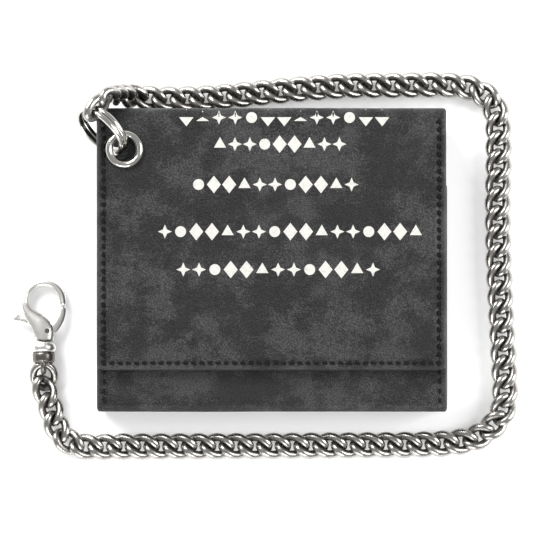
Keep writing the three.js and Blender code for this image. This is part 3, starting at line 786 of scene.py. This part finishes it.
# ---------------------------------------------------------------- hide
@dataclass
class Hide:
    """The outer leather: one skin from the front panel round the back and over the flap."""

    half_width: float = 57.5
    half_height: float = 50.0
    thick: float = 1.6
    top: float = 21.7
    front: float = 17.0
    low_round: float = 10.0
    bottom_round: float = 4.0
    corner_round: float = 3.0
    flap_left: float = -57.4
    flap_right: float = 57.0
    flap_edge: float = -36.0
    body_lip: float = 26.0
    split: float = 12.0
    stitch_in: float = 2.4
    eyelet: tuple[float, float] = (-48.2, 36.3)
    edge_droop: float = 0.9
    side_droop: float = 0.45
    furrow_deep: float = 0.42
    ridge_high: float = 0.16
    press_high: float = 0.22

    @staticmethod
    def arc(middle: tuple[float, float], radius: float, start: float, end: float,
            steps: int) -> list[tuple[float, float]]:
        """Points of an arc in the YZ plane, angles in degrees."""
        return [(middle[0] + radius * math.cos(math.radians(start + (end - start) * i / steps)),
                 middle[1] + radius * math.sin(math.radians(start + (end - start) * i / steps)))
                for i in range(steps + 1)]

    @staticmethod
    def line(start: tuple[float, float], end: tuple[float, float], step: float) -> list[tuple[float, float]]:
        """Points of a straight stretch, ends included."""
        count = max(1, round(math.dist(start, end) / step))
        return [(start[0] + (end[0] - start[0]) * i / count, start[1] + (end[1] - start[1]) * i / count)
                for i in range(count + 1)]

    def body_profile(self) -> list[tuple[float, float]]:
        """Outer line of the body, from the front panel's lip round the bottom and back, up the spine."""
        inner = self.half_height - self.bottom_round
        low = self.half_height - self.low_round
        return [*self.line((self.body_lip, self.front), (-inner, self.front), 1.4),
                *self.arc((-inner, self.front - self.bottom_round), self.bottom_round, 90, 180, 10)[1:],
                *self.line((-self.half_height, self.front - self.bottom_round),
                           (-self.half_height, self.bottom_round), 1.6)[1:],
                *self.arc((-inner, self.bottom_round), self.bottom_round, 180, 270, 10)[1:],
                *self.line((-inner, 0.0), (low, 0.0), 2.5)[1:],
                *self.arc((low, self.low_round), self.low_round, -90, 0, 14)[1:],
                *self.line((self.half_height, self.low_round), (self.half_height, self.split), 0.8)[1:]]

    def flap_profile(self) -> list[tuple[float, float]]:
        """Outer line of the flap, from the spine over the corner to the free edge."""
        inner = self.half_height - self.corner_round
        spine = self.line((self.half_height, self.split), (self.half_height, self.top - self.corner_round), 0.8)
        return [*spine,
                *self.arc((inner, self.top - self.corner_round), self.corner_round, 0, 90, 10)[1:],
                *self.line((inner, self.top), (self.flap_edge, self.top), 0.9)[1:]]

    def wave(self, x: float, y: float, lie: float) -> float:
        """How far the leather stands from its plain shape, in millimetres.

        Args:
            x: place across.
            y: place up the front.
            lie: 0 on folds and 1 on the flat front.

        Returns:
            The height.
        """
        broad = noise.noise(Vector((x * 0.026, y * 0.03, 3.1))) * 0.30
        small = noise.noise(Vector((x * 0.07, y * 0.08, 8.4))) * 0.11
        return lie * (broad + small)

    def flap_height(self, x: float, y: float) -> float:
        """Height of the flap's face over the table, in millimetres."""
        flat = smoothstep(47.5, 42.0, y)
        droop = -self.edge_droop * smoothstep(-18.0, -36.0, y)
        droop -= self.side_droop * smoothstep(50.0, 57.5, abs(x)) * flat
        reach = min(abs(x - (self.flap_left + self.stitch_in)), abs(x - (self.flap_right - self.stitch_in)))
        if y < self.flap_edge + 6:
            reach = min(reach, abs(y - (self.flap_edge + self.stitch_in)))
        furrow = 0.0
        if y < 46.0:
            furrow = -self.furrow_deep * math.exp(-(reach / 0.7) ** 2)
            furrow += self.ridge_high * math.exp(-((reach - 1.4) / 0.6) ** 2)
        press = self.press_high * math.exp(-((math.dist((x, y), self.eyelet) - 8.6) / 2.2) ** 2)
        past = min(self.corner_round, max(0.0, y - (self.half_height - self.corner_round)))
        turn = self.corner_round - math.sqrt(self.corner_round ** 2 - past ** 2)
        return self.top + self.wave(x, y, flat) + droop + (furrow + press) * flat - turn

    def columns(self, left: float, right: float) -> list[float]:
        """Places across the hide, finer near its sides."""
        fine = 9.0
        side = [0.35, 0.8, 1.3, 1.8, 2.1, 2.4, 2.7, 3.1, 3.8, 5.2, 7.0]
        inside_count = round((right - left - 2 * fine) / 1.5)
        inside = [left + fine + (right - left - 2 * fine) * i / inside_count for i in range(inside_count + 1)]
        return [left, *(left + s for s in side), *inside, *(right - s for s in reversed(side)), right]

    def skin(self, name: str, profile: Sequence[tuple[float, float]], left: float, right: float,
             shift: Callable[[float, float, float], float], free: tuple[bool, bool]) -> bpy.types.Object:
        """A closed slab of leather along a profile with rounded sides.

        Args:
            name: the object's name.
            profile: the outer line as (y, z).
            left: the left side.
            right: the right side.
            shift: outward distance from the plain line for x, y and z.
            free: whether the first and the last line are free edges with round corners.

        Returns:
            The slab.
        """
        count = len(profile)
        outward = []
        for i in range(count):
            a, b = profile[max(0, i - 1)], profile[min(count - 1, i + 1)]
            dy, dz = b[0] - a[0], b[1] - a[1]
            size = math.hypot(dy, dz)
            outward.append((dz / size, -dy / size))
        walked = [0.0]
        for a, b in zip(profile, profile[1:]):
            walked.append(walked[-1] + math.dist(a, b))
        total = walked[-1]
        columns = self.columns(left, right)
        outer, inner, marks = [], [], []
        for i, (y, z) in enumerate(profile):
            pull = 0.0
            from_end = min(walked[i] if free[0] else 99.0, total - walked[i] if free[1] else 99.0)
            if from_end < 2.0:
                pull = 2.0 - math.sqrt(max(0.0, 4.0 - (2.0 - from_end) ** 2))
            out_row, in_row = [], []
            for x in columns:
                share = (x - left) / (right - left)
                px = (left + pull) + share * (right - left - 2 * pull)
                to_side = min(px - left - pull, right - pull - px)
                rim = min(to_side, from_end)
                roll = 0.8 - math.sqrt(max(0.0, 0.64 - (0.8 - min(0.8, rim)) ** 2))
                step = shift(px, y, z)
                ny, nz = outward[i]
                out_row.append((px * MM, (y + ny * (step - roll)) * MM, (z + nz * (step - roll)) * MM))
                depth = step - self.thick + roll
                in_row.append((px * MM, (y + ny * depth) * MM, (z + nz * depth) * MM))
                # Marks the rim for the leather's lighter edge, rubbed wear with a painted rim highlight.
                marks.append(smoothstep(1.15, 0.1, rim))
            outer.append(out_row)
            inner.append(in_row)
        across = len(columns)
        points = [p for row in outer for p in row] + [p for row in inner for p in row]
        size = count * across
        faces = []
        for i in range(count - 1):
            for j in range(across - 1):
                a = i * across + j
                faces.append((a, a + 1, a + across + 1, a + across))
                faces.append((size + a, size + a + across, size + a + across + 1, size + a + 1))
        for i in range(count - 1):
            for j in (0, across - 1):
                a = i * across + j
                faces.append((a, a + across, size + a + across, size + a))
        for j in range(across - 1):
            for i in (0, count - 1):
                a = i * across + j
                faces.append((a, a + 1, size + a + 1, size + a))
        return tidy(new_mesh(name, points, faces, marks={"rim_highlight_and_wear": [*marks, *marks]}))

    def build(self) -> list[bpy.types.Object]:
        """Builds the body's skin and the flap's skin."""
        def body_shift(x: float, y: float, z: float) -> float:
            """The body's small swells; the stretch under the flap stays low."""
            if z < 0.5:
                return 0.0
            on_front = 1.0 if z > self.front - 0.5 else 0.35
            lip = -0.35 if y > -30 and z > self.front - 0.5 else 0.0
            return self.wave(x + 40.0, y + z, on_front) * 0.8 - 0.2 + lip

        def flap_shift(x: float, y: float, z: float) -> float:
            """The flap's swells, droop and stitched furrows."""
            if y > 46.9 and z < self.top - 0.01:
                return self.wave(x, y, 0.3) - 0.1
            return self.flap_height(x, min(y, self.half_height - self.corner_round)) - self.top

        body = self.skin("body_hide", self.body_profile(), -self.half_width, self.half_width, body_shift,
                         (True, False))
        flap = self.skin("flap_hide", self.flap_profile(), self.flap_left, self.flap_right, flap_shift,
                         (False, True))
        lining = self.lining()
        self.punch(flap)
        self.punch(lining)
        dress(lining, "flap", Finish.LINING, ["flap_lining"])
        dress(body, "root", Finish.LEATHER, ["back_panel", "front_panel", "bottom_fold"])
        dress(flap, None, Finish.LEATHER, ["top_fold", "flap_fold", "flap_leather"])
        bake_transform(flap)
        return [body, flap, lining]

    def lining(self) -> bpy.types.Object:
        """The thin leather sewn under the flap, which follows its face."""
        inset, across, along = 0.6, 60, 44
        left, right, low, high = self.flap_left + inset, self.flap_right - inset, self.flap_edge + inset, 45.1
        points = []
        for under in (self.thick + 0.06, self.thick + 0.6):
            for i in range(along + 1):
                y = low + (high - low) * i / along
                for j in range(across + 1):
                    x = left + (right - left) * j / across
                    points.append((x * MM, y * MM, (self.flap_height(x, y) - under) * MM))
        row, size = across + 1, (across + 1) * (along + 1)
        faces = []
        for i in range(along):
            for j in range(across):
                a = i * row + j
                faces.append((a, a + 1, a + row + 1, a + row))
                faces.append((size + a, size + a + row, size + a + row + 1, size + a + 1))
        for j in range(across):
            for a in (j, along * row + j):
                faces.append((a, a + 1, size + a + 1, size + a))
        for i in range(along):
            for a in (i * row, i * row + across):
                faces.append((a, a + row, size + a + row, size + a))
        return tidy(new_mesh("flap_backing", points, faces))

    def punch(self, sheet: bpy.types.Object) -> None:
        """Cuts the eyelet's hole through a sheet."""
        made = bmesh.new()
        place = Matrix.Translation((self.eyelet[0] * MM, self.eyelet[1] * MM, self.top * MM))
        bmesh.ops.create_cone(made, cap_ends=True, segments=48, radius1=0.0047, radius2=0.0047, depth=0.012,
                              matrix=place)
        mesh = bpy.data.meshes.new("punch")
        made.to_mesh(mesh)
        made.free()
        tool = bpy.data.objects.new("punch", mesh)
        bpy.context.scene.collection.objects.link(tool)
        cut = sheet.modifiers.new("hole", "BOOLEAN")
        cut.object = tool
        cut.operation = "DIFFERENCE"
        cut.solver = "EXACT"
        settle(sheet)
        drop(tool)
        smooth(sheet)


# ---------------------------------------------------------------- stitches and printed marks
@dataclass
class Stitches:
    """Lines of black thread along the flap's sides and free edge and down the body's sides."""

    hide: Hide
    pitch: float = 0.00265
    long: float = 0.0019
    radius: float = 0.0005
    flap_end: float = 45.5

    def pattern(self) -> bpy.types.Object:
        """One stitch along X that dives into the leather at its ends; a path turns its -Z upwards."""
        loops = []
        for i in range(9):
            t = i / 8 * 2 - 1
            fat = self.radius * math.sqrt(max(0.05, 1 - t ** 4))
            height = self.radius * (0.9 - 1.3 * t ** 4)
            loops.append([(t * self.long / 2, -fat * math.cos(a), -height - fat * 0.8 * math.sin(a))
                          for a in (2 * math.pi * k / 8 for k in range(8))])
        return loft("stitch_pattern", loops)

    def build(self) -> list[bpy.types.Object]:
        """Sets the stitches on the flap and on the body."""
        hide = self.hide
        left, right = hide.flap_left + hide.stitch_in, hide.flap_right - hide.stitch_in
        low = hide.flap_edge + hide.stitch_in

        def over(points: Sequence[tuple[float, float]]) -> list[Vector]:
            """Points on the flap's face."""
            return [Vector((x, y, hide.flap_height(x, y) - 0.02)) * MM for x, y in points]

        pattern = self.pattern()
        repeat = PathRepeat("stitches", Spacing.LENGTH)
        corners = [(left, self.flap_end), (left, low), (right, low), (right, self.flap_end)]
        lines = [over(hide.line(a, b, 1.0)) for a, b in zip(corners, corners[1:])]
        flap = repeat.run("flap_stitches", lines, pattern, Finish.THREAD, pitch=self.pitch)
        side = hide.half_width - hide.stitch_in
        z = hide.front - 0.18
        lines = [[Vector((s * side, y, z)) * MM for y in (-46.0, -41.0, -36.5)] for s in (-1, 1)]
        body = repeat.run("body_stitches", lines, pattern, Finish.THREAD, pitch=self.pitch)
        drop(pattern)
        dress(flap, "flap", Finish.THREAD)
        dress(body, "root", Finish.THREAD)
        return [flap, body]


class Mark(Enum):
    """Plain shapes of the printed rows."""

    DIAMOND = 4
    DOT = 20
    STAR = 8
    TRIANGLE = 3


@dataclass
class PrintedRows:
    """Rows of plain generic shapes in off-white foil on the flap."""

    hide: Hide
    lift: float = 0.05
    thick: float = 0.06
    size: float = 2.3
    gap: float = 5.2
    rows: tuple[tuple[float, float, float], ...] = (
        (46.7, -28.0, 36.0), (38.0, -17.0, 22.0), (24.8, -24.0, 26.0), (9.4, -35.0, 47.0),
        (-3.0, -29.0, 33.0))

    def outline(self, mark: Mark) -> list[tuple[float, float]]:
        """Corners of a mark round its middle, in millimetres."""
        count = mark.value
        reach = [self.size * (1.0 if mark is not Mark.STAR or i % 2 == 0 else 0.42) for i in range(count)]
        tall = 1.25 if mark is Mark.DIAMOND else 1.0
        return [(reach[i] * math.sin(2 * math.pi * i / count) * (0.78 if mark is Mark.DOT else 1.0),
                 reach[i] * math.cos(2 * math.pi * i / count) * tall * (0.78 if mark is Mark.DOT else 1.0))
                for i in range(count)]

    def build(self) -> bpy.types.Object:
        """Lays every row on the flap's face as one piece."""
        kinds = list(Mark)
        points: list[Point] = []
        faces: list[tuple[int, ...]] = []
        order = 0
        for y, start, end in self.rows:
            count = round((end - start) / self.gap)
            for i in range(count + 1):
                x = start + (end - start) * i / count
                outline = self.outline(kinds[(order * 7 + order // 3) % len(kinds)])
                order += 1
                base = len(points)
                for level in (self.lift - self.thick, self.lift):
                    for dx, dy in outline:
                        points.append(((x + dx) * MM, (y + dy) * MM,
                                       (self.hide.flap_height(x + dx, y + dy) + level) * MM))
                for level in (self.lift - self.thick, self.lift):
                    points.append((x * MM, y * MM, (self.hide.flap_height(x, y) + level) * MM))
                size = len(outline)
                for j in range(size):
                    k = (j + 1) % size
                    faces += [(base + j, base + k, base + size + k, base + size + j),
                              (base + 2 * size, base + k, base + j),
                              (base + 2 * size + 1, base + size + j, base + size + k)]
        piece = tidy(new_mesh("printed_marks", points, faces))
        for face in piece.data.polygons:
            face.use_smooth = False
        return dress(piece, "flap", Finish.FOIL)


# ---------------------------------------------------------------- eyelet and split ring
@dataclass
class Hardware:
    """The polished eyelet and the split ring through it."""

    place: tuple[float, float] = (-48.2, 36.3)
    bore: float = 3.8
    flange: float = 6.35
    top: float = 21.7
    rise: float = 1.7
    low: float = 18.4
    ring_radius: float = 9.25
    ring_wire: float = 0.85
    ring_pitch: float = 1.75
    turns: float = 1.94

    def eyelet(self) -> bpy.types.Object:
        """The rolled eyelet with its sleeve."""
        middle, half = (self.bore + self.flange) / 2, (self.flange - self.bore) / 2
        profile = [(self.bore, self.low), (self.bore + 0.5, self.low), (self.bore + 0.5, self.top - 0.1)]
        for i in range(17):
            a = math.pi * i / 16
            profile.append((middle + half * math.cos(a), self.top + 0.1 + self.rise * math.sin(a)))
        left, low = self.place
        piece = lathe("eyelet", profile, lambda x, y, h: ((left + x) * MM, (low + y) * MM, h * MM), 96)
        return dress(piece, "flap", Finish.NICKEL, ["eyelet_front"])

    def ring(self) -> bpy.types.Object:
        """Two flat coils of round-cornered wire, as the CAD ring."""
        middle = Vector((-55.714, 42.866, 20.1))
        axis = RING_AXIS.normalized()
        up = Vector((0.2954, 0.3022, 0.9063)).normalized()
        heading = up.cross(axis).normalized()
        if heading.x > 0:
            heading.negate()
        path = []
        steps = 170
        for i in range(steps + 1):
            t = i / steps
            angle = (t * self.turns - 0.3) * 2 * math.pi
            shift = smoothstep(0.9 / self.turns, 1.04 / self.turns, t) - 0.5
            path.append((middle + (heading * math.cos(angle) + up * math.sin(angle)) * self.ring_radius
                         + axis * shift * self.ring_pitch) * MM)

        def section(share: float, angle: float) -> tuple[float, float]:
            """A squarish wire that thins at its cut ends."""
            c, s = math.cos(angle), math.sin(angle)
            size = self.ring_wire * MM * (1 - 0.35 * smoothstep(0.02, 0.0, min(share, 1 - share)))
            return (size * math.copysign(abs(c) ** 0.7, c), size * math.copysign(abs(s) ** 0.7, s))

        piece = tube("split_coils", path, section, axis, 16)
        return dress(piece, "ring", Finish.NICKEL, ["split_ring"])

    def build(self) -> list[bpy.types.Object]:
        """Builds both."""
        return [self.eyelet(), self.ring()]


# ---------------------------------------------------------------- clasp
@dataclass
class Clasp:
    """The swivel lobster clasp, made along +Y from the collar's middle and then laid down."""

    place: tuple[float, float, float] = (-75.6, -28.9, 4.25)
    tilt: float = math.radians(-6.42)
    collar_radius: float = 4.24
    collar_half: float = 1.4
    loop_radius: float = 6.3
    loop_middle: float = 15.25
    wire: float = 1.25
    pivot: tuple[float, float] = (1.2, 5.4)
    slot: float = 2.0
    spring_keep: float = 0.55

    def laid(self, piece: bpy.types.Object) -> bpy.types.Object:
        """Moves a mesh from the clasp's own millimetres into the frame."""
        x, y, z = self.place
        turned = Matrix.Rotation(self.tilt, 4, "X") @ Matrix.Scale(MM, 4)
        piece.data.transform(Matrix.Translation((x * MM, y * MM, z * MM)) @ turned)
        return piece

    @staticmethod
    def swept(name: str, stops: Sequence[tuple[float, float, float]], depth: Callable[[float], float],
              sides: int = 28) -> bpy.types.Object:
        """A round-sided bar with domed ends.

        Args:
            name: the object's name.
            stops: x, y and half width along the bar.
            depth: the half depth for a half width.
            sides: points round the bar.

        Returns:
            The bar in the clasp's own millimetres.
        """
        line = smooth_route(stops, 0.3)
        last = len(line) - 1
        loops = []
        for i, here in enumerate(line):
            ahead = line[min(last, i + 1)] - line[max(0, i - 1)]
            side = Vector((-ahead.y, ahead.x, 0.0)).normalized()
            dome = math.sqrt(max(0.08, 1 - max(0.0, 1 - min(i, last - i) / 3) ** 2))
            wide, deep = here.z * dome, depth(here.z) * dome
            loops.append([(here.x + side.x * wide * math.cos(a), here.y + side.y * wide * math.cos(a),
                           deep * math.sin(a)) for a in (2 * math.pi * k / sides for k in range(sides))])
        return loft(name, loops)

    @staticmethod
    def melt(piece: bpy.types.Object, others: Sequence[bpy.types.Object], cutters: Sequence[bpy.types.Object],
             voxel: float, rounds: int) -> bpy.types.Object:
        """Joins pieces, cuts others out and rounds every edge, as casting does."""
        work = bmesh.new()
        for part in (piece, *others):
            work.from_mesh(part.data)
        work.to_mesh(piece.data)
        work.free()
        for stage in ("join", "cut"):
            if stage == "cut":
                for tool in cutters:
                    step = piece.modifiers.new("slot", "BOOLEAN")
                    step.operation, step.object, step.solver = "DIFFERENCE", tool, "EXACT"
            grid = piece.modifiers.new(stage, "REMESH")
            grid.mode, grid.voxel_size, grid.use_smooth_shade = "VOXEL", voxel, True
        soft = piece.modifiers.new("soft", "SMOOTH")
        soft.factor, soft.iterations = 0.5, rounds
        settle(piece)
        drop(*others, *cutters)
        return tidy(piece, 1e-5)

    @staticmethod
    def block(name: str, size: Sequence[float], middle: Sequence[float]) -> bpy.types.Object:
        """A plain cutter, never shown."""
        made = bmesh.new()
        place = Matrix.Translation(middle) @ Matrix.Diagonal((*size, 1.0))
        bmesh.ops.create_cube(made, size=1.0, matrix=place)
        mesh = bpy.data.meshes.new(name)
        made.to_mesh(mesh)
        made.free()
        tool = bpy.data.objects.new(name, mesh)
        bpy.context.scene.collection.objects.link(tool)
        return tool

    def body(self) -> bpy.types.Object:
        """The bulb and loop in one, with the lever's slot."""
        w = self.wire
        stops = [(0.2, 1.9, 3.0), (0.25, 3.4, 3.3), (0.0, 5.3, 3.8), (-1.1, 7.4, 3.7), (-3.0, 9.4, 2.9),
                 (-5.0, 11.6, 2.0), (-6.15, 13.8, 1.5)]
        for degrees in (175, 150, 125, 100, 75, 50, 25, 3):
            a = math.radians(degrees)
            across, along = self.loop_radius * math.cos(a), self.loop_radius * math.sin(a)
            stops.append((across, self.loop_middle + along, w))
        stops.append((self.loop_radius, 13.9, w))
        bar = self.swept("clasp_casting", stops, lambda wide: 1.32 + 0.24 * wide)
        slot = self.block("slot_cutter", (9.6, 7.4, self.slot), (0.2, 7.2, 0.0))
        piece = self.melt(bar, [], [slot], 0.16, 6)
        return dress(self.shaded(self.laid(piece)), "clasp", Finish.PLATE, ["clasp_body"])

    def lever(self) -> bpy.types.Object:
        """The spring lever with its gate and thumb knob."""
        px, py = self.pivot
        stops = [(6.2, 13.8, 1.2), (5.8, 11.2, 1.45), (4.6, 8.6, 1.7), (px + 1.4, py + 0.9, 1.9),
                 (px - 0.8, py + 0.6, 1.7), (-2.6, 7.2, 1.3), (-5.4, 8.7, 1.1), (-8.2, 9.7, 1.15)]
        bar = self.swept("lever_casting", stops, lambda wide: 0.74)
        round_off = [(0.0, -1.2), (0.95, -1.1), (1.35, -0.5), (1.35, 0.5), (0.95, 1.1), (0.0, 1.2)]
        knob = lathe("knob_pattern", round_off, lambda x, y, h: (-9.0 + x, 9.9 + y, h), 24)
        piece = self.melt(bar, [knob], [], 0.15, 3)
        return dress(self.shaded(self.laid(piece)), "trigger", Finish.PLATE, ["trigger_lever"])

    def collar(self) -> bpy.types.Object:
        """The round bead that turns with the body."""
        bore, half = 1.4, self.collar_half
        profile = [(bore, -half)]
        for i in range(25):
            a = -math.pi / 2 + i / 24 * math.pi
            profile.append((self.collar_radius - 1.2 + 1.2 * math.cos(a), (half + 0.25) * math.sin(a)))
        profile.append((bore, half))
        piece = lathe("collar_bead", profile, lambda x, y, h: (x, h, y), 64)
        return dress(self.shaded(self.laid(piece)), "clasp", Finish.PLATE, ["swivel_collar"])

    def eye(self) -> list[bpy.types.Object]:
        """The dark dome, its stem and the ring that holds the last link, in a dark metal that paints the swivel
        in shade.
        """
        face = -self.collar_half - 0.3
        depths = [(0.0, 3.6), (2.0, 3.55), (3.1, 3.3), (3.6, 2.6), (3.7, 0.8), (3.6, 0.0), (1.1, 0.0)]
        profile = [*((radius, face - deep) for radius, deep in depths), (1.1, 1.8), (0.0, 1.8)]
        dome = lathe("swivel_dome", profile, lambda x, y, h: (x, h, y), 48)
        middle = face - 3.7
        path = [Vector((0.0, middle + 2.7 * math.cos(a), 2.7 * math.sin(a)))
                for a in (2 * math.pi * i / 48 for i in range(48))]
        ring = tube("swivel_ring", path, round_section(0.85), Vector((1.0, 0.0, 0.0)), 16, closed=True)
        # Painted shade: the dark finish stands for the shade on the swivel.
        return [dress(self.shaded(self.laid(piece)), "swivel", Finish.DARK, ["swivel_eye"])
                for piece in (dome, ring)]

    @staticmethod
    def shaded(piece: bpy.types.Object) -> bpy.types.Object:
        """Marks hollows, where the plating stays dark, from how the surface bends, and paints shade on faces
        turned away from above.
        """
        mesh = piece.data
        mesh.update()
        around: list[list[int]] = [[] for _ in mesh.vertices]
        for edge in mesh.edges:
            a, b = edge.vertices
            around[a].append(b)
            around[b].append(a)
        bends = []
        for vertex, near in zip(mesh.vertices, around):
            if not near:
                bends.append(0.0)
                continue
            lifts = ((mesh.vertices[n].co - vertex.co).normalized().dot(vertex.normal) for n in near)
            bends.append(sum(lifts) / len(near))
        for _ in range(6):
            bends = [(bends[i] + sum(bends[n] for n in near)) / (len(near) + 1)
                     for i, near in enumerate(around)]
        # Painted shade: faces turned sideways or down get darker, a dark rim seen from above; the bends mark
        # patina in hollows.
        values = [max(smoothstep(-0.02, 0.16, b) * 0.9, smoothstep(0.5, 0.0, v.normal.z) * 0.62)
                  for b, v in zip(bends, mesh.vertices)]
        if "shade_and_patina" in mesh.attributes:
            mesh.attributes.remove(mesh.attributes["shade_and_patina"])
        mesh.attributes.new("shade_and_patina", "FLOAT", "POINT").data.foreach_set("value", values)
        return piece

    def press_spring(self) -> None:
        """Gives the lever's spring a mesh of its own."""
        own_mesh(frame["nodes"]["trigger_spring"])

    def build(self) -> list[bpy.types.Object]:
        """Builds the clasp's pieces."""
        self.press_spring()
        return [self.body(), self.lever(), self.collar(), *self.eye()]


# ---------------------------------------------------------------- insides, studio and camera
class Inside:
    """The linings, pockets and small fittings whose CAD shape is right."""

    finishes: dict[str, Finish] = {
        "lining": Finish.LINING, "leather": Finish.LEATHER, "nickel": Finish.NICKEL,
        "antique_silver": Finish.SILVER, "dark_steel": Finish.DARK}

    def build(self) -> None:
        """Gives each carried-over node the finish of its slot."""
        for part in frame["record"]["subparts"]:
            node = frame["nodes"][part["node"]]
            node.data.materials.clear()
            node.data.materials.append(PALETTE[self.finishes[part["material_slot"]]])


@dataclass
class Studio:
    """A pale table, soft lights and the camera straight above."""

    height: float = 1.30
    middle: tuple[float, float] = (-0.0018, -0.0020)
    half_view: float = 0.08755
    subject: float = 0.015

    def camera(self) -> None:
        """Looks straight down with the top fold at the top."""
        data = bpy.data.cameras.new("camera")
        data.sensor_fit = "HORIZONTAL"
        data.angle = 2 * math.atan(self.half_view / (self.height - self.subject))
        seen = bpy.data.objects.new("camera", data)
        seen.location = (*self.middle, self.height)
        bpy.context.scene.collection.objects.link(seen)
        bpy.context.scene.camera = seen

    def light(self, name: str, place: Sequence[float], size: Sequence[float], power: float) -> None:
        """A soft rectangular light that faces the wallet."""
        data = bpy.data.lights.new(name, "AREA")
        data.shape, data.size, data.size_y, data.energy = "RECTANGLE", size[0], size[1], power
        lamp = bpy.data.objects.new(name, data)
        lamp.location = place
        lamp.rotation_euler = (-Vector(place)).to_track_quat("-Z", "Y").to_euler()
        bpy.context.scene.collection.objects.link(lamp)

    def table(self) -> None:
        """A plain pale floor."""
        reach = 3.0
        corners = [(-reach, -reach, 0), (reach, -reach, 0), (reach, reach, 0), (-reach, reach, 0)]
        floor = new_mesh("table", corners, [(0, 1, 2, 3)])
        paint = Shader("table_paint", Roughness=0.75, Base_Color=(0.9, 0.9, 0.9, 1.0),
                       Emission_Color=(1.0, 1.0, 1.0, 1.0), Emission_Strength=0.30)
        floor.data.materials.append(paint.material)

    def build(self) -> None:
        """Sets the studio up."""
        self.camera()
        self.table()
        self.light("key", (-0.75, 0.95, 0.85), (0.9, 0.6), 28.0)
        self.light("fill", (1.05, 0.1, 0.7), (0.6, 0.9), 14.0)
        self.light("low", (-0.2, -1.15, 0.6), (1.0, 0.45), 10.0)
        sky = bpy.data.worlds.new("studio")
        sky.use_nodes = True
        sky.node_tree.nodes["Background"].inputs["Color"].default_value = (1.0, 1.0, 1.0, 1.0)
        sky.node_tree.nodes["Background"].inputs["Strength"].default_value = 0.42
        bpy.context.scene.world = sky
        bpy.context.scene.view_settings.view_transform = "Standard"


def main() -> None:
    """Builds every piece."""
    logging.basicConfig(level=logging.INFO, format="%(name)s: %(message)s")
    Studio().build()
    Inside().build()
    chain = Chain()
    links, first, last = chain.build()
    hide = Hide()
    hide.build()
    Stitches(hide).build()
    PrintedRows(hide).build()
    _, ring = Hardware().build()
    fittings = Clasp().build()
    chain.declare()


if __name__ == "__main__":
    main()
